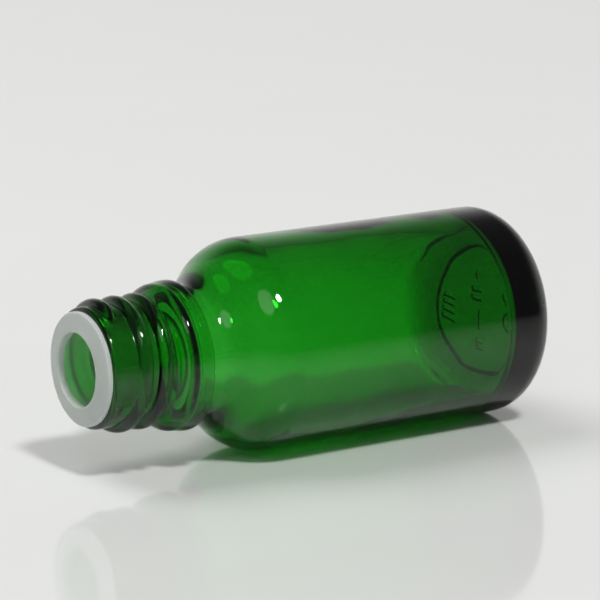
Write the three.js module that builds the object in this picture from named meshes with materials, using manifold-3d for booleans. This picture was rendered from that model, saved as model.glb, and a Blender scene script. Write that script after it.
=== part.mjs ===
// A 15 ml glass dropper bottle with an 18 mm screw neck, lying on its side, with its pouring ring
// pressed into the mouth. Millimetres. +Z is up, the bottle's axis runs along Y, and the mouth
// faces -Y. Lengths along the axis are counted from the front edge of the ring's flange.
import * as THREE from "three";
import { mergeVertices } from "three/addons/utils/BufferGeometryUtils.js";
import Module from "manifold-3d";

const wasm = await Module();
wasm.setup();

// Sizes of the glass
const bodyRadius = 14.25;
const shoulderRadius = 7.5;
const shoulderEnd = 25.7;
const shoulderBlend = 20.2;
const heelRadius = 4.05;
const baseEnd = 66.6;
const standingInner = 9.8;
const pushUp = 0.7;
const wallThickness = 1.8;
const floorAt = 60.8;
const innerHeelRadius = 1.6;

// Sizes of the neck
const lipAt = 0.93;
const lipRadius = 7.35;
const lipRounding = 0.55;
const boreRadius = 5.9;
const rootRadius = 7.95;
const neckFootRadius = 9.02;
const neckFootAt = 16.0;
const beadRadius = 9.92;

// Sizes of the thread: a round ridge, half sunk in the neck, that dies away at both ends
const threadHand = -1; // -1 turns left-handed, as this bottle is shown, and 1 right-handed
const threadPitch = 3.0;
const threadCrest = 8.82;
const threadRound = 1.3;
const threadTopAt = 2.93;
const threadStartTurn = -0.12;
const threadEndTurn = 2.2;
const threadRunOut = 0.1;
const threadSteps = 80;

// Sizes of the pouring ring
const flangeRadius = 7.46;
const flangeThickness = 0.63;
const faceRise = 0.51;
const holeRadius = 4.85;
const collarEnd = 1.1;
const sleeveBore = 5.1;
const sleeveRadius = 5.6;
const sleeveEnd = 9.6;

// The bottle lies on one facet, and the two ends of its length are equally far from the origin.
const sides = 60;
const axisHeight = bodyRadius;
const originAt = (baseEnd - faceRise) / 2;
const cornerScale = 1 / Math.cos(Math.PI / sides);

// A closed outline of radius and length is turned about the axis and laid at the axis height. The
// corners are pushed out a little so that the flats, not the corners, sit at the true radius.
function turned(outline, divisions) {
  const points = outline.getPoints(divisions).map((p) => new THREE.Vector2(p.x, p.y - originAt));
  const geometry = new THREE.LatheGeometry(points, sides);
  geometry.rotateY(Math.PI / sides);
  geometry.scale(cornerScale, 1, cornerScale);
  geometry.translate(0, 0, axisHeight);
  return geometry;
}

// A geometry as a solid that can be added to or cut from another.
function solid(geometry) {
  geometry.deleteAttribute("normal");
  geometry.deleteAttribute("uv");
  const merged = mergeVertices(geometry, 1e-4);
  const vertProperties = merged.attributes.position.array;
  const triVerts = new Uint32Array(merged.index.array);
  const made = new wasm.Manifold(new wasm.Mesh({ numProp: 3, vertProperties, triVerts }));
  if (made.volume() > 0) return made;
  for (let i = 0; i < triVerts.length; i += 3) {
    [triVerts[i + 1], triVerts[i + 2]] = [triVerts[i + 2], triVerts[i + 1]];
  }
  return new wasm.Manifold(new wasm.Mesh({ numProp: 3, vertProperties, triVerts }));
}

// A finished solid as a named mesh.
function piece(name, made, material) {
  const m = made.getMesh();
  const geometry = new THREE.BufferGeometry();
  geometry.setAttribute("position", new THREE.BufferAttribute(m.vertProperties, 3));
  geometry.setIndex(new THREE.BufferAttribute(m.triVerts, 1));
  geometry.computeVertexNormals();
  const mesh = new THREE.Mesh(geometry, material);
  mesh.name = name;
  return mesh;
}

// The outside of the glass from the middle of the lip to the middle of the base: rounded lip,
// plain neck, transfer bead, hollow foot, round shoulder, straight wall, heel, standing ring and
// pushed-up base.
function glassOutside() {
  const o = new THREE.Path();
  o.moveTo(0, lipAt);
  o.lineTo(lipRadius, lipAt);
  o.absarc(lipRadius, lipAt + lipRounding, lipRounding, -Math.PI / 2, 0, false);
  o.lineTo(rootRadius, lipAt + 1.1);
  o.lineTo(rootRadius, 10.0);
  o.bezierCurveTo(8.1, 10.3, 9.62, 10.9, 9.68, 12.0);
  o.bezierCurveTo(9.72, 12.8, beadRadius, 13.2, beadRadius, 14.0);
  o.bezierCurveTo(beadRadius, 14.8, 9.15, 14.7, neckFootRadius, neckFootAt - 0.9);
  o.lineTo(neckFootRadius, neckFootAt);
  const centre = bodyRadius - shoulderRadius;
  const back = shoulderEnd - shoulderBlend;
  const across = Math.sqrt(shoulderRadius ** 2 - back ** 2);
  const blend = new THREE.Vector2(centre + across, shoulderBlend);
  const slope = new THREE.Vector2(-back, -across).multiplyScalar(2.4 / shoulderRadius);
  o.bezierCurveTo(
    neckFootRadius, neckFootAt + 1.3,
    blend.x - Math.abs(slope.y), blend.y - Math.abs(slope.x),
    blend.x, blend.y,
  );
  const from = Math.atan2(shoulderBlend - shoulderEnd, across);
  o.absarc(centre, shoulderEnd, shoulderRadius, from, 0, false);
  o.lineTo(bodyRadius, baseEnd - heelRadius);
  o.absarc(bodyRadius - heelRadius, baseEnd - heelRadius, heelRadius, 0, Math.PI / 2, false);
  o.lineTo(standingInner, baseEnd);
  o.bezierCurveTo(
    standingInner - 0.6, baseEnd,
    standingInner - 0.5, baseEnd - pushUp,
    standingInner - 1.2, baseEnd - pushUp,
  );
  o.lineTo(0, baseEnd - pushUp);
  return o;
}

// The hollow of the glass, run on past the lip so that it cuts the mouth open.
function glassInside() {
  const inner = bodyRadius - wallThickness;
  const o = new THREE.Path();
  o.moveTo(0, lipAt - 3);
  o.lineTo(boreRadius, lipAt - 3);
  o.lineTo(boreRadius, 13.0);
  o.bezierCurveTo(boreRadius + 0.1, 16.4, 6.9, 17.2, 8.7, 19.1);
  o.bezierCurveTo(10.6, 21.1, inner, 22.4, inner, 26.5);
  o.lineTo(inner, floorAt - innerHeelRadius);
  o.absarc(inner - innerHeelRadius, floorAt - innerHeelRadius, innerHeelRadius, 0, Math.PI / 2, false);
  o.lineTo(0, floorAt);
  return o;
}

// The path along the middle of the thread ridge. It climbs one pitch a turn, and at each end it
// sinks until the ridge has gone under the surface of the neck.
class ThreadPath extends THREE.Curve {
  getPoint(t, target = new THREE.Vector3()) {
    const turn = threadStartTurn + t * (threadEndTurn - threadStartTurn);
    const fromEnd = Math.min(turn - threadStartTurn, threadEndTurn - turn) / threadRunOut;
    const risen = THREE.MathUtils.smoothstep(fromEnd, 0, 1);
    const sunk = (threadCrest - rootRadius + 0.15) * (1 - risen);
    const radius = threadCrest - threadRound - sunk;
    const angle = Math.PI / 2 - threadHand * turn * 2 * Math.PI;
    const along = threadTopAt + turn * threadPitch - originAt;
    return target.set(radius * Math.cos(angle), along, axisHeight + radius * Math.sin(angle));
  }
}

function threadRidge() {
  const section = new THREE.Shape();
  section.absarc(0, 0, threadRound, 0, 2 * Math.PI, false);
  return new THREE.ExtrudeGeometry(section, {
    steps: threadSteps,
    curveSegments: 6,
    bevelEnabled: false,
    extrudePath: new ThreadPath(),
  });
}

// The pouring ring: a flange that lies over the lip, its face rising to the rim of the hole, a thick
// collar just behind it, and a long, thinner sleeve down the bore. The sleeve's end is bevelled so
// that it starts into the glass.
function ringOutline() {
  const o = new THREE.Path();
  const rim = 0.35;
  o.moveTo(sleeveBore, sleeveEnd);
  o.lineTo(sleeveBore, collarEnd + 0.4);
  o.lineTo(holeRadius, collarEnd);
  o.lineTo(holeRadius, rim - faceRise);
  o.absarc(holeRadius + rim, rim - faceRise, rim, Math.PI, 1.5 * Math.PI, false);
  o.lineTo(holeRadius + rim + 0.25, 0.06 - faceRise);
  o.lineTo(flangeRadius - 0.1, -0.02);
  o.lineTo(flangeRadius, 0.08);
  o.lineTo(flangeRadius, flangeThickness);
  o.lineTo(sleeveRadius, flangeThickness);
  o.lineTo(sleeveRadius, sleeveEnd - 0.7);
  o.lineTo(sleeveRadius - 0.2, sleeveEnd);
  o.lineTo(sleeveBore, sleeveEnd);
  return o;
}

function glassMaterial() {
  return new THREE.MeshStandardMaterial({
    color: 0x108012,
    roughness: 0.05,
    metalness: 0,
    transparent: true,
    opacity: 0.6,
  });
}

function ringMaterial() {
  return new THREE.MeshStandardMaterial({ color: 0xc9d2cc, roughness: 0.4, metalness: 0 });
}

function glassBottle() {
  const outside = solid(turned(glassOutside(), 4));
  const ridge = solid(threadRidge());
  const hollow = solid(turned(glassInside(), 4));
  return piece("glass_bottle", outside.add(ridge).subtract(hollow), glassMaterial());
}

function pouringRing() {
  return piece("pouring_ring", solid(turned(ringOutline(), 3)), ringMaterial());
}

const bottle = new THREE.Group();
bottle.add(glassBottle());
bottle.add(pouringRing());

export default bottle;
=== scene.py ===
# %% [markdown]
# # A green glass dropper bottle with its pouring ring
#
# The bottle is a small pharmacy bottle of moulded green glass, lying on its side. Its screw neck is
# closed by a pouring ring of soft, milky polyethylene that is pressed into the mouth. Two pieces
# make the whole object, so nearly all of its look comes from three things: a true wall of glass
# with a true hollow in it, a colour that lives in the depth of the glass, and light that comes
# through from behind.

# %% [markdown]
# The engineering model of the bottle is loaded first, and everything is measured from it, so the
# fine pieces made below land exactly where the plain ones are. Sizes are in millimetres, as a bottle
# maker gives them, and lengths along the axis are counted from the front edge of the ring's flange.

# %% Load the frame and measure it
import bpy, bmesh, math
from mathutils import Matrix, Vector


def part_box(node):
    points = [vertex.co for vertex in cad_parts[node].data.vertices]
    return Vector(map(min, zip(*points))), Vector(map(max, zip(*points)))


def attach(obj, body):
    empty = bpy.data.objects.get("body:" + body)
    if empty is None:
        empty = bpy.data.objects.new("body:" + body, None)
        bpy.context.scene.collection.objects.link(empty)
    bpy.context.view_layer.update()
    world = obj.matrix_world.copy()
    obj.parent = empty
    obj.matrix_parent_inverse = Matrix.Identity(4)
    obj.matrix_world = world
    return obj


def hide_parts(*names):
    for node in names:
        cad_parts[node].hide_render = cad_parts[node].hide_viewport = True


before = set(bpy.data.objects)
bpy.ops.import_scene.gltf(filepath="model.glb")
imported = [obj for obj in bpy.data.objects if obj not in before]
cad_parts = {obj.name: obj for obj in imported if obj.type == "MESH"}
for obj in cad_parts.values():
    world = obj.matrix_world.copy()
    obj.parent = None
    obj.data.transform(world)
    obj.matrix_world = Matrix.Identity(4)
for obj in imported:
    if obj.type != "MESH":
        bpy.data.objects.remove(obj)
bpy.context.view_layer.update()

MM = 0.001
glass_low, glass_high = (Vector(corner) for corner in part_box("glass_bottle"))
ring_low, ring_high = (Vector(corner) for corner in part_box("pouring_ring"))
body_radius = (glass_high.x - glass_low.x) / 2 / MM
axis_height = (glass_low.z + glass_high.z) / 2
# The ring's face stands this far in front of the front edge of its flange.
face_rise = 0.51
flange_front = ring_low.y + face_rise * MM
base_end = (glass_high.y - flange_front) / MM
print(f"body radius {body_radius:.2f} mm, base {base_end:.2f} mm behind the flange's front edge")


# %% [markdown]
# Every tree of nodes below, for geometry and for materials, could be put together by hand in an
# editor. Here one small function does it, so that each node can be read as a line: it adds a node,
# sets its options, and fills its sockets. A socket or a node given as a value is linked, and
# anything else is typed in. Colours are written as the hex codes a painter would pick on a screen,
# and another function turns them into the linear light that Blender computes with.

# %% Two helpers: add a node, and turn a hex colour linear
def add(tree, kind, options=None, inputs=None):
    node = tree.nodes.new(kind)
    for name, value in (options or {}).items():
        setattr(node, name, value)
    for key, value in (inputs or {}).items():
        socket = node.inputs[key]
        if isinstance(value, bpy.types.Node):
            value = next(out for out in value.outputs if out.enabled)
        if isinstance(value, bpy.types.NodeSocket):
            tree.links.new(value, socket)
        else:
            socket.default_value = value
    return node


def linear(hex_code):
    parts = [int(hex_code[i:i + 2], 16) / 255 for i in (1, 3, 5)]
    light = [c / 12.92 if c <= 0.04045 else ((c + 0.055) / 1.055) ** 2.4 for c in parts]
    return (*light, 1.0)


print("clear milk in linear light is", [round(c, 3) for c in linear("#F5FAF7")])


# %% [markdown]
# The camera stands low, in front of the mouth and to one side, and looks along the bottle with a
# long lens, so the far end is hardly smaller than the near one. It is placed by two angles and a
# distance from a point just above the bottle's axis.

# %% Set up the camera
azimuth, elevation = math.radians(56.23), math.radians(12.64)
camera_distance = 0.4441
aim_along, aim_right, aim_up = 32.0, 1.592, 5.002
right = Vector((math.cos(azimuth), math.sin(azimuth), 0))
back = Vector((math.sin(azimuth) * math.cos(elevation),
               -math.cos(azimuth) * math.cos(elevation),
               math.sin(elevation)))
up = back.cross(right)
on_axis = Vector((0, flange_front + aim_along * MM, axis_height))
aim = on_axis + right * aim_right * MM + up * aim_up * MM
camera_data = bpy.data.cameras.new("camera")
camera_data.sensor_width = 36
camera_data.lens = 200.4
camera_data.clip_end = 50
camera = bpy.data.objects.new("camera", camera_data)
bpy.context.collection.objects.link(camera)
camera.matrix_world = Matrix((right, up, back)).transposed().to_4x4()
camera.location = aim + back * camera_distance
bpy.context.scene.camera = camera
print("camera stands at", [round(c, 3) for c in camera.location])


# %% [markdown]
# A bottle is a turned shape. It could be built up from cylinders and joined, but the joins would show
# in clear glass, so it starts as one outline instead: a row of points, each a distance from the axis
# and a distance along it. Straight runs, arcs and Bezier bends follow one another the way a mould
# maker draws them, and each point remembers whether it lies outside or inside.

# %% Draw outlines from lines, arcs and bends
def run(a, b, steps):
    return [(a[0] + (b[0] - a[0]) * i / steps, a[1] + (b[1] - a[1]) * i / steps)
            for i in range(steps + 1)]


def arc(centre, radius, start, end, steps):
    turns = [math.radians(start + (end - start) * i / steps) for i in range(steps + 1)]
    return [(centre[0] + radius * math.cos(t), centre[1] + radius * math.sin(t)) for t in turns]


def bend(a, b, c, d, steps):
    points = []
    for i in range(steps + 1):
        t = i / steps
        w = ((1 - t) ** 3, 3 * t * (1 - t) ** 2, 3 * t * t * (1 - t), t ** 3)
        points.append(tuple(w[0] * a[k] + w[1] * b[k] + w[2] * c[k] + w[3] * d[k]
                            for k in (0, 1)))
    return points


def outline_mesh(name, stretches):
    points, outside = [], []
    for stretch, is_outside in stretches:
        for point in stretch:
            if points and math.dist(points[-1], point) < 1e-6:
                continue
            points.append(point)
            outside.append(float(is_outside))
    mesh = bpy.data.meshes.new(name)
    mesh.from_pydata([(r * MM, flange_front + s * MM, 0) for r, s in points],
                     [(i, i + 1) for i in range(len(points) - 1)], [])
    mesh.attributes.new("outside", "FLOAT", "POINT").data.foreach_set("value", outside)
    print(name, "has", len(points), "points")
    return mesh


# %% [markdown]
# These are the sizes of the glass. The finish, as the threaded part of the neck is called, is pressed
# on a plunger, so its bore is straight and true. The rest is blown, so behind the finish the hollow
# widens at once. The wall thickens towards the base, and the floor is a thick slab of glass with a
# shallow push-up under it. That slab traps the light, and makes the heel look black.

# %% Sizes of the glass
lip_at, lip_radius, lip_rounding = 0.68, 7.35, 0.6
bore_radius, bore_edge, bore_end = 5.85, 0.25, 12.2
hollow_neck_radius, hollow_neck_at, hollow_neck_end = 7.8, 13.5, 15.6
root_radius, root_end = 7.95, 10.0
bead_front_radius, bead_front_at = 9.68, 12.0
bead_radius, bead_at = 9.92, 14.0
groove_radius, groove_at = 8.85, 14.8
neck_foot_radius, neck_foot_at = 9.02, 16.0
shoulder_radius, shoulder_end, blend_at = 7.5, 25.7, 20.2
shoulder_centre = body_radius - shoulder_radius
wall_end = 60.4
heel_radius, standing_inner, dish_radius, push_up = 4.05, 9.8, 8.6, 0.7
inner_radius = body_radius - 1.75
inner_at_base = body_radius - 2.4
floor_at, inner_heel = 61.1, 2.2
inner_shoulder = inner_radius - shoulder_centre
print(f"floor {base_end - push_up - floor_at:.1f} mm, bore {2 * bore_radius:.1f} mm across")


# %% [markdown]
# The outline goes once round the wall of the glass. The inside half starts in the middle of the
# floor, and runs along the inner wall, over the shoulder and out through the bore to the lip.

# %% The inside half of the outline
inner_turn = arc((shoulder_centre, shoulder_end), inner_shoulder, 0, -50, 14)
turn_radius, turn_at = inner_turn[-1]
inside = (
    run((0, floor_at), (inner_at_base - inner_heel, floor_at), 14)
    + arc((inner_at_base - inner_heel, floor_at - inner_heel), inner_heel, 90, 0, 16)
    + bend((inner_at_base, floor_at - inner_heel), (inner_at_base, 52.0),
           (inner_radius, 44.0), (inner_radius, shoulder_end), 26)
    + inner_turn
    + bend((turn_radius, turn_at), (turn_radius - 1.9, turn_at - 1.6),
           (hollow_neck_radius, 18.0), (hollow_neck_radius, hollow_neck_end), 16)
    + run((hollow_neck_radius, hollow_neck_end), (hollow_neck_radius, hollow_neck_at), 3)
    + bend((hollow_neck_radius, hollow_neck_at), (7.75, 12.8), (6.1, 12.9),
           (bore_radius, bore_end), 14)
    + run((bore_radius, bore_end), (bore_radius, lip_at + bore_edge), 8)
    + arc((bore_radius + bore_edge, lip_at + bore_edge), bore_edge, 180, 270, 4)
)
print("the inside half has", len(inside), "points")


# %% [markdown]
# The outside half follows the mould: a rounded lip, the plain root of the thread, the bead by which
# the bottle is held while it is blown, a shallow groove, the foot of the neck, a round shoulder, the
# straight wall, the heel, the ring it stands on and the push-up. The root is laid out in many short
# steps, because the thread is raised out of it later.

# %% The outside half, and the whole outline
shoulder_back = shoulder_end - blend_at
shoulder_across = math.sqrt(shoulder_radius ** 2 - shoulder_back ** 2)
shoulder_from = -math.degrees(math.atan2(shoulder_back, shoulder_across))
blend_point = (shoulder_centre + shoulder_across, blend_at)
blend_lead = (blend_point[0] - 1.63, blend_point[1] - 1.76)
base_top = base_end - push_up
outside = (
    arc((lip_radius, lip_at + lip_rounding), lip_rounding, 270, 360, 8)
    + run((root_radius, lip_at + lip_rounding), (root_radius, lip_at + 1.2), 2)
    + run((root_radius, lip_at + 1.2), (root_radius, root_end), 130)
    + bend((root_radius, root_end), (8.1, 10.3), (9.62, 10.9), (bead_front_radius, bead_front_at), 26)
    + bend((bead_front_radius, bead_front_at), (9.72, 12.8), (9.92, 13.2), (bead_radius, bead_at), 14)
    + bend((bead_radius, bead_at), (9.95, 14.7), (9.2, 14.4), (groove_radius, groove_at), 20)
    + run((groove_radius, groove_at), (neck_foot_radius, neck_foot_at), 4)
    + bend((neck_foot_radius, neck_foot_at), (9.02, 17.3), blend_lead, blend_point, 20)
    + arc((shoulder_centre, shoulder_end), shoulder_radius, shoulder_from, 0, 18)
    + run((body_radius, shoulder_end), (body_radius, wall_end), 15)
    + run((body_radius, wall_end), (body_radius, base_end - heel_radius), 8)
    + arc((body_radius - heel_radius, base_end - heel_radius), heel_radius, 0, 90, 18)
    + run((body_radius - heel_radius, base_end), (standing_inner, base_end), 3)
    + bend((standing_inner, base_end), (standing_inner - 0.6, base_end),
           (standing_inner - 0.5, base_top), (dish_radius, base_top), 12)
    + run((dish_radius, base_top), (0, base_top), 40)
)
glass_outline = outline_mesh("glass outline", [(inside, False), (outside, True)])


# %% [markdown]
# A tree of geometry nodes is a recipe with named sizes, so it can be used again with other sizes.
# Every tree here starts and ends alike, so two helpers do that: one gives the tree its inputs, and
# the other makes any copies real and gives the result its material.

# %% Two helpers: start a tree with named sizes, and end it
def new_tree(name, sizes):
    tree = bpy.data.node_groups.new(name, "GeometryNodeTree")
    tree.is_modifier = True
    tree.interface.new_socket("Geometry", in_out="INPUT", socket_type="NodeSocketGeometry")
    kinds = {float: "NodeSocketFloat", int: "NodeSocketInt"}
    for size, value in sizes.items():
        kind = kinds.get(type(value), "NodeSocketObject")
        item = tree.interface.new_socket(size, in_out="INPUT", socket_type=kind)
        if kind != "NodeSocketObject":
            item.default_value = value
    tree.interface.new_socket("Material", in_out="INPUT", socket_type="NodeSocketMaterial")
    tree.interface.new_socket("Geometry", in_out="OUTPUT", socket_type="NodeSocketGeometry")
    return tree, add(tree, "NodeGroupInput").outputs


def end_tree(tree, geometry, given):
    real = add(tree, "GeometryNodeRealizeInstances", {}, {0: geometry})
    coated = add(tree, "GeometryNodeSetMaterial", {}, {0: real, "Material": given["Material"]})
    add(tree, "NodeGroupOutput", {}, {0: coated})


# %% [markdown]
# The next tree turns an outline about the bottle's axis, as a lathe would. A Screw modifier could do
# it too, but the trees that follow need to know which points lie outside. So this one lays down a
# plain tube with one ring of points for each point of the outline, looks up where that point is, and
# moves the whole ring there. The rings that end on the axis shrink to one point and are merged. The
# result is closed and even, which glass needs: a stray edge or a doubled face would show as a dark
# line once light bends through it.

# %% Geometry nodes: turn an outline on the axis
turning, given = new_tree("turn on the axis", {"Sides": 216, "Axis Height": 0.0143})
spot = add(turning, "GeometryNodeInputPosition")
rows = add(turning, "GeometryNodeAttributeDomainSize", {"component": "MESH"},
           {0: given["Geometry"]})
gaps = add(turning, "ShaderNodeMath", {"operation": "SUBTRACT"}, {0: rows, 1: 1.0})
tube = add(turning, "GeometryNodeMeshCylinder", {"fill_type": "NONE"},
           {"Vertices": given["Sides"], "Side Segments": gaps, "Radius": 1.0, "Depth": 1.0})
tube_x, tube_y, tube_z = add(turning, "ShaderNodeSeparateXYZ", {}, {0: spot}).outputs
climb = add(turning, "ShaderNodeMath", {"operation": "MULTIPLY"}, {0: tube_z, 1: gaps})
middle = add(turning, "ShaderNodeMath", {"operation": "MULTIPLY"}, {0: gaps, 1: 0.5})
height = add(turning, "ShaderNodeMath", {"operation": "ADD"}, {0: climb, 1: middle})
row = add(turning, "ShaderNodeMath", {"operation": "ROUND"}, {0: height})
point = add(turning, "GeometryNodeSampleIndex", {"data_type": "FLOAT_VECTOR"},
            {"Geometry": given["Geometry"], "Value": spot, "Index": row})
side = add(turning, "GeometryNodeInputNamedAttribute", {"data_type": "FLOAT"}, {"Name": "outside"})
side_here = add(turning, "GeometryNodeSampleIndex", {"data_type": "FLOAT"},
                {"Geometry": given["Geometry"], "Value": side.outputs["Attribute"], "Index": row})
marked = add(turning, "GeometryNodeStoreNamedAttribute", {"data_type": "FLOAT"},
             {"Geometry": tube.outputs["Mesh"], "Name": "outside", "Value": side_here})
out, along, _ = add(turning, "ShaderNodeSeparateXYZ", {}, {0: point}).outputs
place_x = add(turning, "ShaderNodeMath", {"operation": "MULTIPLY"}, {0: out, 1: tube_x})
place_z = add(turning, "ShaderNodeMath", {"operation": "MULTIPLY_ADD"},
              {0: out, 1: tube_y, 2: given["Axis Height"]})
place = add(turning, "ShaderNodeCombineXYZ", {}, {0: place_x, 1: along, 2: place_z})
turned = add(turning, "GeometryNodeSetPosition", {}, {0: marked, "Position": place})
closed = add(turning, "GeometryNodeMergeByDistance", {}, {0: turned, "Distance": 1e-7})
smooth = add(turning, "GeometryNodeSetShadeSmooth", {}, {0: closed})
end_tree(turning, smooth, given)
print("the turning tree has", len(turning.nodes), "nodes")


# %% [markdown]
# The screw thread of a glass neck is a round ridge that winds about two turns and dies away at both
# ends, because the mould has to come apart around it. A bar wound round the neck and joined to it
# would leave a seam, so the next tree raises the thread in the wall, which stays one skin. Its first
# part finds how far each point is, along the axis, from the nearest turn of the screw.

# %% Geometry nodes: how far each point is from the screw
finish, given = new_tree("screw finish", {
    "Axis Height": 0.0143, "Root Radius": 0.00795, "Thread Height": 0.00087,
    "Thread Round": 0.00115, "Fillet": 0.00015, "Pitch": 0.003, "Top Crest": -0.03, "Hand": -1.0,
    "First Turn": -0.12, "Last Turn": 2.2, "Run Out": 0.1,
    "Parting Angle": 0.2, "Parting Height": 0.00005, "Parting Half Width": 0.00025,
    "Parting End": 0.0})
spot = add(finish, "GeometryNodeInputPosition")
at_x, at_y, at_z = add(finish, "ShaderNodeSeparateXYZ", {}, {0: spot}).outputs
at_h = add(finish, "ShaderNodeMath", {"operation": "SUBTRACT"}, {0: at_z, 1: given["Axis Height"]})
square = add(finish, "ShaderNodeMath", {"operation": "MULTIPLY"}, {0: at_h, 1: at_h})
squares = add(finish, "ShaderNodeMath", {"operation": "MULTIPLY_ADD"}, {0: at_x, 1: at_x, 2: square})
radius = add(finish, "ShaderNodeMath", {"operation": "SQRT"}, {0: squares})
angle = add(finish, "ShaderNodeMath", {"operation": "ARCTAN2"}, {0: at_h, 1: at_x})
from_top = add(finish, "ShaderNodeMath", {"operation": "SUBTRACT"}, {0: math.pi / 2, 1: angle})
handed = add(finish, "ShaderNodeMath", {"operation": "MULTIPLY"}, {0: from_top, 1: given["Hand"]})
part_turn = add(finish, "ShaderNodeMath", {"operation": "DIVIDE"}, {0: handed, 1: 2 * math.pi})
past_top = add(finish, "ShaderNodeMath", {"operation": "SUBTRACT"}, {0: at_y, 1: given["Top Crest"]})
turns = add(finish, "ShaderNodeMath", {"operation": "DIVIDE"}, {0: past_top, 1: given["Pitch"]})
off = add(finish, "ShaderNodeMath", {"operation": "SUBTRACT"}, {0: turns, 1: part_turn})
nearest = add(finish, "ShaderNodeMath", {"operation": "ROUND"}, {0: off})
miss = add(finish, "ShaderNodeMath", {"operation": "SUBTRACT"}, {0: off, 1: nearest})
this_turn = add(finish, "ShaderNodeMath", {"operation": "SUBTRACT"}, {0: turns, 1: miss})
distance = add(finish, "ShaderNodeMath", {"operation": "MULTIPLY"}, {0: miss, 1: given["Pitch"]})
print("the distance from the screw takes", len(finish.nodes), "nodes")


# %% [markdown]
# The section of the ridge is part of a circle with its middle sunk in the neck, so its flanks are
# steep, and they are what draws the dark lines round the neck. The ridge sinks under the surface at
# both ends. Where it meets the neck, a soft maximum of the two surfaces leaves a small fillet.

# %% Geometry nodes: the round section of the ridge
back_off = add(finish, "ShaderNodeMath", {"operation": "MULTIPLY"}, {0: distance, 1: -1.0})
round_square = add(finish, "ShaderNodeMath", {"operation": "MULTIPLY"},
                   {0: given["Thread Round"], 1: given["Thread Round"]})
under = add(finish, "ShaderNodeMath", {"operation": "MULTIPLY_ADD"},
            {0: distance, 1: back_off, 2: round_square})
kept = add(finish, "ShaderNodeMath", {"operation": "MAXIMUM"}, {0: under, 1: 0.0})
bow = add(finish, "ShaderNodeMath", {"operation": "SQRT"}, {0: kept})
risen = add(finish, "ShaderNodeMath", {"operation": "ADD"},
            {0: given["First Turn"], 1: given["Run Out"]})
sinking = add(finish, "ShaderNodeMath", {"operation": "SUBTRACT"},
              {0: given["Last Turn"], 1: given["Run Out"]})
fade_in = add(finish, "ShaderNodeMapRange", {"interpolation_type": "SMOOTHSTEP"},
              {0: this_turn, 1: given["First Turn"], 2: risen})
fade_out = add(finish, "ShaderNodeMapRange", {"interpolation_type": "SMOOTHSTEP"},
               {0: this_turn, 1: given["Last Turn"], 2: sinking})
fade = add(finish, "ShaderNodeMath", {"operation": "MULTIPLY"}, {0: fade_in, 1: fade_out})
outside_here = add(finish, "GeometryNodeInputNamedAttribute", {"data_type": "FLOAT"},
                   {"Name": "outside"})
buried = add(finish, "ShaderNodeMath", {"operation": "MULTIPLY"}, {0: given["Fillet"], 1: -1.5})
tall = add(finish, "ShaderNodeMath", {"operation": "SUBTRACT"},
           {0: given["Thread Height"], 1: buried})
standing = add(finish, "ShaderNodeMath", {"operation": "MULTIPLY_ADD"},
               {0: tall, 1: fade, 2: buried})
sunk = add(finish, "ShaderNodeMath", {"operation": "SUBTRACT"},
           {0: given["Thread Round"], 1: standing})
ridge = add(finish, "ShaderNodeMath", {"operation": "SUBTRACT"}, {0: bow, 1: sunk})
core = add(finish, "ShaderNodeMath", {"operation": "MINIMUM"}, {0: radius, 1: given["Root Radius"]})
crest = add(finish, "ShaderNodeMath", {"operation": "ADD"}, {0: core, 1: ridge})
blended = add(finish, "ShaderNodeMath", {"operation": "SMOOTH_MAX"},
              {0: radius, 1: crest, 2: given["Fillet"]})
gain = add(finish, "ShaderNodeMath", {"operation": "SUBTRACT"}, {0: blended, 1: radius})
threaded = add(finish, "ShaderNodeMath", {"operation": "MULTIPLY_ADD"},
               {0: gain, 1: outside_here.outputs["Attribute"], 2: radius})
print("the ridge brings it to", len(finish.nodes), "nodes")


# %% [markdown]
# The two halves of the mould leave a thin raised line down each side of the neck, which fades on the
# shoulder. The same tree adds it, and then moves every point to its new distance from the axis.

# %% Geometry nodes: the parting line, and the points moved
turned_away = add(finish, "ShaderNodeMath", {"operation": "SUBTRACT"},
                  {0: angle, 1: given["Parting Angle"]})
sideways = add(finish, "ShaderNodeMath", {"operation": "SINE"}, {0: turned_away})
aside = add(finish, "ShaderNodeMath", {"operation": "MULTIPLY"}, {0: sideways, 1: radius})
from_line = add(finish, "ShaderNodeMath", {"operation": "ABSOLUTE"}, {0: aside})
line_shape = add(finish, "ShaderNodeMapRange", {"interpolation_type": "SMOOTHSTEP"},
                 {0: from_line, 1: given["Parting Half Width"], 2: 0.0})
# The line fades out over its last 4 mm.
line_stop = add(finish, "ShaderNodeMath", {"operation": "SUBTRACT"},
                {0: given["Parting End"], 1: 4 * MM})
line_fade = add(finish, "ShaderNodeMapRange", {"interpolation_type": "SMOOTHSTEP"},
                {0: at_y, 1: given["Parting End"], 2: line_stop})
line = add(finish, "ShaderNodeMath", {"operation": "MULTIPLY"}, {0: line_shape, 1: line_fade})
line_out = add(finish, "ShaderNodeMath", {"operation": "MULTIPLY"},
               {0: line, 1: outside_here.outputs["Attribute"]})
lined = add(finish, "ShaderNodeMath", {"operation": "MULTIPLY_ADD"},
            {0: line_out, 1: given["Parting Height"], 2: threaded})
safe = add(finish, "ShaderNodeMath", {"operation": "MAXIMUM"}, {0: radius, 1: 1e-6})
grow = add(finish, "ShaderNodeMath", {"operation": "DIVIDE"}, {0: lined, 1: safe})
new_x = add(finish, "ShaderNodeMath", {"operation": "MULTIPLY"}, {0: at_x, 1: grow})
new_z = add(finish, "ShaderNodeMath", {"operation": "MULTIPLY_ADD"},
            {0: at_h, 1: grow, 2: given["Axis Height"]})
raised = add(finish, "ShaderNodeCombineXYZ", {}, {0: new_x, 1: at_y, 2: new_z})
moved = add(finish, "GeometryNodeSetPosition", {}, {0: given["Geometry"], "Position": raised})
end_tree(finish, moved, given)
print("the finish tree has", len(finish.nodes), "nodes")


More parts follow.
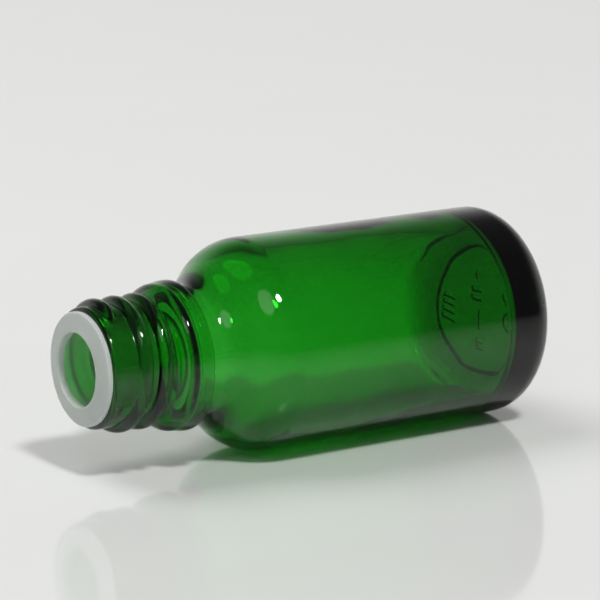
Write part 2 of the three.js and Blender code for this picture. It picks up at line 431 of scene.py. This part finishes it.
# %% [markdown]
# Blown glass is true on the outside, where it touched the mould, and uneven on the inside, where
# only air shaped it. That unevenness is what makes light swim in a cheap bottle. A bump in the
# material would only touch reflections, so the wall itself is moved: a slow noise pushes it in and
# out by a tenth of a millimetre or so, and the whole hollow sits a little off centre, as it does when
# the hot glass sags. Both start at the foot of the neck, because the bore in front of it was pressed
# on a plunger. The seed is fixed, so the wall comes out the same each time.

# %% Geometry nodes: let the blown inner wall wander
blown, given = new_tree("blown inside", {"Axis Height": 0.0143, "Amount": 0.0004, "Bump Size": 0.009,
                                         "Seed": 4.0, "Sag": 0.0002, "Starts At": -0.016})
spot = add(blown, "GeometryNodeInputPosition")
at_x, at_y, at_z = add(blown, "ShaderNodeSeparateXYZ", {}, {0: spot}).outputs
at_h = add(blown, "ShaderNodeMath", {"operation": "SUBTRACT"}, {0: at_z, 1: given["Axis Height"]})
per_bump = add(blown, "ShaderNodeMath", {"operation": "DIVIDE"}, {0: 1.0, 1: given["Bump Size"]})
noise = add(blown, "ShaderNodeTexNoise", {"noise_dimensions": "4D"},
            {"Vector": spot, "W": given["Seed"], "Scale": per_bump, "Detail": 1.5,
             "Roughness": 0.4})
centred = add(blown, "ShaderNodeMath", {"operation": "SUBTRACT"}, {0: noise, 1: 0.5})
outside_here = add(blown, "GeometryNodeInputNamedAttribute", {"data_type": "FLOAT"},
                   {"Name": "outside"})
inner = add(blown, "ShaderNodeMath", {"operation": "SUBTRACT"},
            {0: 1.0, 1: outside_here.outputs["Attribute"]})
# The unevenness grows to its full size over 8 mm.
settled = add(blown, "ShaderNodeMath", {"operation": "ADD"}, {0: given["Starts At"], 1: 8 * MM})
grown = add(blown, "ShaderNodeMapRange", {"interpolation_type": "SMOOTHSTEP"},
            {0: at_y, 1: given["Starts At"], 2: settled})
share = add(blown, "ShaderNodeMath", {"operation": "MULTIPLY"}, {0: grown, 1: inner})
amount_here = add(blown, "ShaderNodeMath", {"operation": "MULTIPLY"}, {0: given["Amount"], 1: share})
push = add(blown, "ShaderNodeMath", {"operation": "MULTIPLY"}, {0: centred, 1: amount_here})
outward = add(blown, "ShaderNodeCombineXYZ", {}, {0: at_x, 1: 0.0, 2: at_h})
unit = add(blown, "ShaderNodeVectorMath", {"operation": "NORMALIZE"}, {0: outward})
shift = add(blown, "ShaderNodeVectorMath", {"operation": "SCALE"}, {0: unit, "Scale": push})
sag_here = add(blown, "ShaderNodeMath", {"operation": "MULTIPLY"}, {0: given["Sag"], 1: share})
down = add(blown, "ShaderNodeMath", {"operation": "MULTIPLY"}, {0: sag_here, 1: -1.0})
drop = add(blown, "ShaderNodeCombineXYZ", {}, {2: down})
both = add(blown, "ShaderNodeVectorMath", {"operation": "ADD"}, {0: shift, 1: drop})
wandered = add(blown, "GeometryNodeSetPosition", {}, {0: given["Geometry"], "Offset": both})
end_tree(blown, wandered, given)
print("the blown-inside tree has", len(blown.nodes), "nodes")


# %% [markdown]
# The base of such a bottle carries small raised marks. Real ones are numbers, so these are plain
# bars, a dot and a small ring that say nothing. Text or cut-out shapes would need joining to the
# glass, so they are drawn instead as short strokes lying on the base, in millimetres across and up
# from its middle.

# %% The strokes of the marks
strokes, stroke_edges = [], []


def stroke(*points):
    first = len(strokes)
    strokes.extend((x * MM, base_end * MM + flange_front - push_up * MM, z * MM + axis_height)
                   for x, z in points)
    stroke_edges.extend((first + i, first + i + 1) for i in range(len(points) - 1))


stroke((-0.4, 4.9), (-0.4, 4.7))
stroke((-1.3, 2.6), (0.3, 2.6))
stroke((-1.3, 1.5), (0.3, 1.5))
stroke((0.1, -0.4), (0.1, -2.4))
stroke((-0.4, -4.4), (1.3, -4.4))
stroke((-0.2, -5.3), (1.3, -5.3))
for level in (1.2, 0.1, -1.0, -2.1):
    stroke((-7.3, level), (-5.2, level - 0.5))
small_ring = arc((6.3, -0.8), 1.0, 0, 360, 8)
stroke(*small_ring)
stroke((5.3, 2.6), (6.2, 1.8))
stroke_mesh = bpy.data.meshes.new("base strokes")
stroke_mesh.from_pydata(strokes, stroke_edges, [])
stroke_sheet = bpy.data.objects.new("base_strokes", stroke_mesh)
bpy.context.collection.objects.link(stroke_sheet)
print("the marks are drawn with", len(stroke_edges), "straight lines")


# %% [markdown]
# The next tree raises the glass, along its own surface direction, wherever a stroke is near. The
# marks swell softly out of the base like the real ones, which were cut into the mould.

# %% Geometry nodes: raise the marks
marks, given = new_tree("raised marks", {"Strokes": None, "Stroke Half Width": 0.0005,
                                         "Mark Height": 0.0003})
spot = add(marks, "GeometryNodeInputPosition")
sheet = add(marks, "GeometryNodeObjectInfo", {"transform_space": "ORIGINAL"},
            {"Object": given["Strokes"]})
near = add(marks, "GeometryNodeProximity", {"target_element": "EDGES"},
           {0: sheet.outputs["Geometry"]})
rise = add(marks, "ShaderNodeMapRange", {"interpolation_type": "SMOOTHSTEP"},
           {0: near.outputs["Distance"], 1: given["Stroke Half Width"], 2: 0.0})
outside_here = add(marks, "GeometryNodeInputNamedAttribute", {"data_type": "FLOAT"},
                   {"Name": "outside"})
rise_out = add(marks, "ShaderNodeMath", {"operation": "MULTIPLY"},
               {0: rise, 1: outside_here.outputs["Attribute"]})
lift = add(marks, "ShaderNodeMath", {"operation": "MULTIPLY"}, {0: rise_out, 1: given["Mark Height"]})
facing = add(marks, "GeometryNodeInputNormal")
offset = add(marks, "ShaderNodeVectorMath", {"operation": "SCALE"}, {0: facing, "Scale": lift})
embossed = add(marks, "GeometryNodeSetPosition", {}, {0: given["Geometry"], "Offset": offset})
end_tree(marks, embossed, given)
print("the marks tree has", len(marks.nodes), "nodes")


# %% [markdown]
# Bottle glass is soda-lime glass, melted with a little chromium and iron for the green and pressed
# and blown in an iron mould. The eye reads three things: a sharp, clean gloss from the fire-polished
# skin, a colour that deepens wherever the light travels further through the wall, and a slight
# swim in the reflections where the skin cooled unevenly. A green skin would give the same tint to a
# thin wall and a thick one, so the skin is left clear and the colour is absorption in the volume.
# Thick places such as the heel and the bead then go nearly black by themselves.

# %% Material: fire-polished green soda-lime glass
def new_material(name):
    material = bpy.data.materials.new(name)
    material.use_nodes = True
    tree = material.node_tree
    tree.nodes.clear()
    return material, tree


green_glass, tree = new_material("fire-polished green soda-lime glass")
place = add(tree, "ShaderNodeTexCoord").outputs["Object"]
# The skin wanders over about 6 mm, the distance between two cold spots of the mould.
skin = add(tree, "ShaderNodeTexNoise", {}, {"Vector": place, "Scale": 1 / (6 * MM), "Detail": 1.0})
swim = add(tree, "ShaderNodeBump", {}, {"Height": skin, "Strength": 0.25, "Distance": 0.04 * MM})
# A trace of handling dulls the gloss in patches about 3 mm across.
haze = add(tree, "ShaderNodeTexNoise", {}, {"Vector": place, "Scale": 1 / (3 * MM), "Detail": 3.0})
gloss = add(tree, "ShaderNodeMapRange", {}, {0: haze, 1: 0.45, 2: 0.8, 3: 0.0, 4: 0.012})
glass_shader = add(tree, "ShaderNodeBsdfPrincipled", {},
                   {"Base Color": linear("#FFFFFF"), "Transmission Weight": 1.0, "IOR": 1.5,
                    "Roughness": gloss, "Normal": swim})
# Chromium and iron take the red and the blue out of the light within a few millimetres.
tint = add(tree, "ShaderNodeVolumeAbsorption", {},
           {"Color": linear("#3FE545"), "Density": 1320.0})
add(tree, "ShaderNodeOutputMaterial", {},
    {"Surface": glass_shader.outputs[0], "Volume": tint.outputs[0]})
print(green_glass.name, "has", len(tree.nodes), "nodes")


# %% [markdown]
# The pouring ring is injection-moulded low-density polyethylene. It is waxy and milky: light goes
# in, scatters and comes out again, so its flange glows a little and takes on the green of the glass
# behind it. A true scattering volume is slow and noisy in a piece this small, so a share of clear
# transmission and a share of subsurface scattering stand in for it. Its skin is satin, with the
# fine, soft grain of the mould.

# %% Material: injection-moulded milky polyethylene
milky, tree = new_material("moulded milky polyethylene")
place = add(tree, "ShaderNodeTexCoord").outputs["Object"]
# The grain of a satin mould is about 0.05 mm across. It is drawn 0.4 mm across, so that it shows.
grain = add(tree, "ShaderNodeTexNoise", {}, {"Vector": place, "Scale": 1 / (0.4 * MM), "Detail": 2.0})
skin = add(tree, "ShaderNodeBump", {}, {"Height": grain, "Strength": 0.2, "Distance": 0.02 * MM})
# The milk is a little uneven over about 3 mm, where the melt flowed into the mould.
cloud = add(tree, "ShaderNodeTexNoise", {}, {"Vector": place, "Scale": 1 / (3 * MM), "Detail": 2.0})
milk = add(tree, "ShaderNodeMix", {"data_type": "RGBA"},
           {"Factor": cloud, 6: linear("#EEF6F1"), 7: linear("#F5FAF7")})
satin = add(tree, "ShaderNodeMapRange", {}, {0: cloud, 1: 0.3, 2: 0.7, 3: 0.3, 4: 0.42})
# Behind the flange the sleeve is thin, so it is clearer and smoother.
depth = add(tree, "ShaderNodeSeparateXYZ", {}, {0: place}).outputs[1]
thin = add(tree, "ShaderNodeMapRange", {"interpolation_type": "SMOOTHSTEP"},
           {0: depth, 1: flange_front + 0.45 * MM, 2: flange_front + 0.9 * MM})
clear = add(tree, "ShaderNodeMapRange", {}, {0: thin, 3: 0.4, 4: 0.76})
sheen = add(tree, "ShaderNodeMix", {"data_type": "FLOAT"}, {"Factor": thin, 2: satin, 3: 0.3})
milky_shader = add(tree, "ShaderNodeBsdfPrincipled", {},
                   {"Base Color": milk.outputs[2], "Roughness": sheen, "IOR": 1.51,
                    "Transmission Weight": clear, "Subsurface Weight": 0.4,
                    "Subsurface Radius": (1.5 * MM, 1.7 * MM, 1.5 * MM), "Subsurface Scale": 1.0,
                    "Normal": skin})
add(tree, "ShaderNodeOutputMaterial", {}, {"Surface": milky_shader.outputs[0]})
print(milky.name, "has", len(tree.nodes), "nodes")


# %% [markdown]
# A tree works on an object as a modifier, whose inputs are set by the socket's identifier. When all
# the modifiers are on, the evaluated result becomes a plain mesh, and the working object is thrown
# away. The signed volume tells whether the faces point outwards, and an edge that isn't shared by
# exactly two faces would be a hole.

# %% Two helpers: use a tree, and turn the result into a plain piece
def use_tree(thing, tree, material, sizes):
    modifier = thing.modifiers.new(tree.name, "NODES")
    modifier.node_group = tree
    sockets = {item.name: item.identifier for item in tree.interface.items_tree
               if item.in_out == "INPUT"}
    for name, value in {"Material": material, **sizes}.items():
        modifier[sockets[name]] = value


def plain_piece(name, thing):
    bpy.context.view_layer.update()
    depsgraph = bpy.context.evaluated_depsgraph_get()
    mesh = bpy.data.meshes.new_from_object(thing.evaluated_get(depsgraph))
    mesh.name = name
    shape = bmesh.new()
    shape.from_mesh(mesh)
    volume = shape.calc_volume(signed=True)
    if volume < 0:
        bmesh.ops.reverse_faces(shape, faces=shape.faces)
        shape.to_mesh(mesh)
    loose = sum(1 for edge in shape.edges if not edge.is_manifold)
    shape.free()
    mesh.attributes.remove(mesh.attributes["outside"])
    bpy.data.objects.remove(thing)
    piece = bpy.data.objects.new(name, mesh)
    bpy.context.collection.objects.link(piece)
    print(name, len(mesh.polygons), "faces,", loose, "open edges,", f"{abs(volume) * 1e6:.2f} cm3")
    return piece


# %% [markdown]
# Now the glass is made. The outline gets the four trees one after another: turned on the axis, given
# its thread and parting line, made uneven inside, and marked on the base. The thread is left-handed
# on this bottle, and a Hand of 1 would turn it the usual way.

# %% Make the glass
glass_sides = 216
glass_work = bpy.data.objects.new("glass_work", glass_outline)
bpy.context.collection.objects.link(glass_work)
use_tree(glass_work, turning, green_glass, {"Sides": glass_sides, "Axis Height": axis_height})
use_tree(glass_work, finish, green_glass, {
    "Axis Height": axis_height, "Root Radius": root_radius * MM, "Thread Height": 0.87 * MM,
    "Thread Round": 1.15 * MM, "Fillet": 0.15 * MM, "Pitch": 3.0 * MM,
    "Top Crest": flange_front + 2.93 * MM, "Hand": -1.0,
    "First Turn": -0.12, "Last Turn": 2.2, "Run Out": 0.1,
    "Parting Angle": math.radians(12), "Parting Height": 0.05 * MM,
    "Parting Half Width": 0.25 * MM, "Parting End": flange_front + 22 * MM})
use_tree(glass_work, blown, green_glass, {
    "Axis Height": axis_height, "Amount": 0.4 * MM, "Bump Size": 9 * MM, "Seed": 4.0,
    "Sag": 0.2 * MM, "Starts At": flange_front + 17 * MM})
use_tree(glass_work, marks, green_glass, {
    "Strokes": stroke_sheet, "Stroke Half Width": 0.5 * MM, "Mark Height": 0.3 * MM})
glass = plain_piece("green_glass_bottle", glass_work)
bpy.data.objects.remove(stroke_sheet)
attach(glass, "bottle")
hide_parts("glass_bottle")


# %% [markdown]
# The ring is turned too, from an outline that closes on itself. Its face rises a little towards the
# hole, where it ends in a small rounded rim. Just behind the hole there is a thick collar, and from
# there a thinner sleeve runs on down the bore and holds the ring in place.

# %% Make the pouring ring
ring_sides = 192
flange_radius, flange_thickness, flange_edge = 7.46, 0.63, 0.08
face_slope_end = (6.8, -0.16)
hole_radius, rim, collar_end = 4.85, 0.15, 0.6
sleeve_bore, sleeve_radius, sleeve_end, sleeve_bevel = 5.2, 5.75, 9.6, 0.2
ring_outline = outline_mesh("ring outline", [(
    run((sleeve_bore, sleeve_end), (sleeve_bore, collar_end + 0.4), 24)
    + bend((sleeve_bore, collar_end + 0.4), (sleeve_bore, collar_end + 0.1),
           (hole_radius, collar_end + 0.3), (hole_radius, collar_end), 6)
    + run((hole_radius, collar_end), (hole_radius, rim - face_rise), 4)
    + arc((hole_radius + rim, rim - face_rise), rim, 180, 265, 10)
    + run((hole_radius + rim + 0.2, 0.03 - face_rise), face_slope_end, 8)
    + bend(face_slope_end, (7.1, -0.11), (7.36, -0.08), (flange_radius - 0.03, 0.02), 6)
    + bend((flange_radius - 0.03, 0.02), (flange_radius, 0.05), (flange_radius, 0.08),
           (flange_radius, 0.12), 4)
    + run((flange_radius, 0.12), (flange_radius, flange_thickness - flange_edge), 3)
    + arc((flange_radius - flange_edge, flange_thickness - flange_edge), flange_edge, 0, 90, 4)
    + run((flange_radius - flange_edge, flange_thickness), (sleeve_radius, flange_thickness), 6)
    + run((sleeve_radius, flange_thickness), (sleeve_radius, sleeve_end - 0.7), 20)
    + run((sleeve_radius, sleeve_end - 0.7), (sleeve_radius - sleeve_bevel, sleeve_end), 3)
    + run((sleeve_radius - sleeve_bevel, sleeve_end), (sleeve_bore, sleeve_end), 2), True)])
ring_work = bpy.data.objects.new("ring_work", ring_outline)
bpy.context.collection.objects.link(ring_work)
use_tree(ring_work, turning, milky, {"Sides": ring_sides, "Axis Height": axis_height})
ring = plain_piece("milky_pouring_ring", ring_work)
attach(ring, "ring")
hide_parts("pouring_ring")


# %% [markdown]
# The bottle lies on a glossy white board. A gloss board is a white, scattering core under a clear
# skin, so it gives a faint, slightly soft mirror image and keeps a soft shadow. A flat sheet with a
# low roughness does both. It is eight metres wide, so that no edge of it comes near the bottle.

# %% The board and its material
board_mesh = bpy.data.meshes.new("board")
half = 4.0
corners = [(-half, -half, 0), (half, -half, 0), (half, half, 0), (-half, half, 0)]
board_mesh.from_pydata(corners, [], [(0, 1, 2, 3)])
board = bpy.data.objects.new("board", board_mesh)
bpy.context.collection.objects.link(board)
gloss_board, tree = new_material("glossy white laminate")
place = add(tree, "ShaderNodeTexCoord").outputs["Object"]
# The white is a little uneven over about 30 mm, like any pressed sheet.
mottle = add(tree, "ShaderNodeTexNoise", {}, {"Vector": place, "Scale": 1 / (30 * MM), "Detail": 2.0})
shade = add(tree, "ShaderNodeMix", {"data_type": "RGBA"},
            {"Factor": mottle, 6: linear("#E4E5E2"), 7: linear("#E7E8E6")})
board_shader = add(tree, "ShaderNodeBsdfPrincipled", {},
                   {"Base Color": shade.outputs[2], "Roughness": 0.07, "IOR": 1.45})
add(tree, "ShaderNodeOutputMaterial", {}, {"Surface": board_shader.outputs[0]})
board_mesh.materials.append(gloss_board)
print("board is", 2 * half, "m across")


# %% [markdown]
# Lamps alone would leave glass black, because it shows what stands behind it, and the next step sees
# to that. The three round lamps here light the board and draw the highlights. A key lamp, high on the
# camera's side, casts the shadow and gives the small bright glints along the neck and on the
# shoulder. A large, weak diffuser nearer the mouth gives the pale round patch beside them. A soft
# fill, high on the far side, lifts the board and the shadow, and is hidden from reflections so that
# the glass doesn't mirror it.

# %% The lamps
def soft_light(name, towards, distance, size, power, target):
    data = bpy.data.lights.new(name, "AREA")
    data.shape = "DISK"
    data.size = size
    data.energy = power
    lamp = bpy.data.objects.new(name, data)
    bpy.context.collection.objects.link(lamp)
    towards = Vector(towards).normalized()
    lamp.location = target + towards * distance
    lamp.rotation_euler = towards.to_track_quat("Z", "Y").to_euler()
    return lamp


middle_of_glass = Vector((0, 0, axis_height))
soft_light("key lamp", (0.54, -0.055, 0.835), 2.0, 0.3, 23.0, middle_of_glass)
soft_light("round diffuser", (0.456, -0.446, 0.77), 2.05, 1.0, 3.0, middle_of_glass)
fill = soft_light("overhead fill", (-0.5, -0.25, 0.85), 1.2, 0.8, 6.6, middle_of_glass)
fill.visible_glossy = False


# %% [markdown]
# What shines through the glass is the room. A studio would hang a pale sweep behind the bottle and
# keep the rest of the room dark, so that the front of the glass reflects little and its colour
# stays deep. The world does the same: it is dim everywhere, and turns bright low down and behind.

# %% The room
towards_sweep = (-0.83, 0.56, 0.0)
dark_wall, pale_sweep = linear("#595959"), linear("#E5E5E3")
world = bpy.data.worlds.new("dim studio")
bpy.context.scene.world = world
world.use_nodes = True
sky = world.node_tree
direction = add(sky, "ShaderNodeTexCoord").outputs["Generated"]
height = add(sky, "ShaderNodeSeparateXYZ", {}, {0: direction}).outputs[2]
low = add(sky, "ShaderNodeMapRange", {"interpolation_type": "SMOOTHSTEP"},
          {0: height, 1: 0.72, 2: 0.12})
backwards = add(sky, "ShaderNodeVectorMath", {"operation": "DOT_PRODUCT"},
                {0: direction, 1: towards_sweep})
behind = add(sky, "ShaderNodeMapRange", {"interpolation_type": "SMOOTHSTEP"},
             {0: backwards.outputs["Value"], 1: -0.1, 2: 0.6})
sweep = add(sky, "ShaderNodeMath", {"operation": "MULTIPLY"}, {0: low, 1: behind})
room = add(sky, "ShaderNodeMix", {"data_type": "RGBA"},
           {"Factor": sweep, 6: dark_wall, 7: pale_sweep})
sky.links.new(room.outputs[2], sky.nodes["Background"].inputs["Color"])
bpy.context.scene.view_settings.view_transform = "Standard"
print("the room has", len(sky.nodes), "nodes")
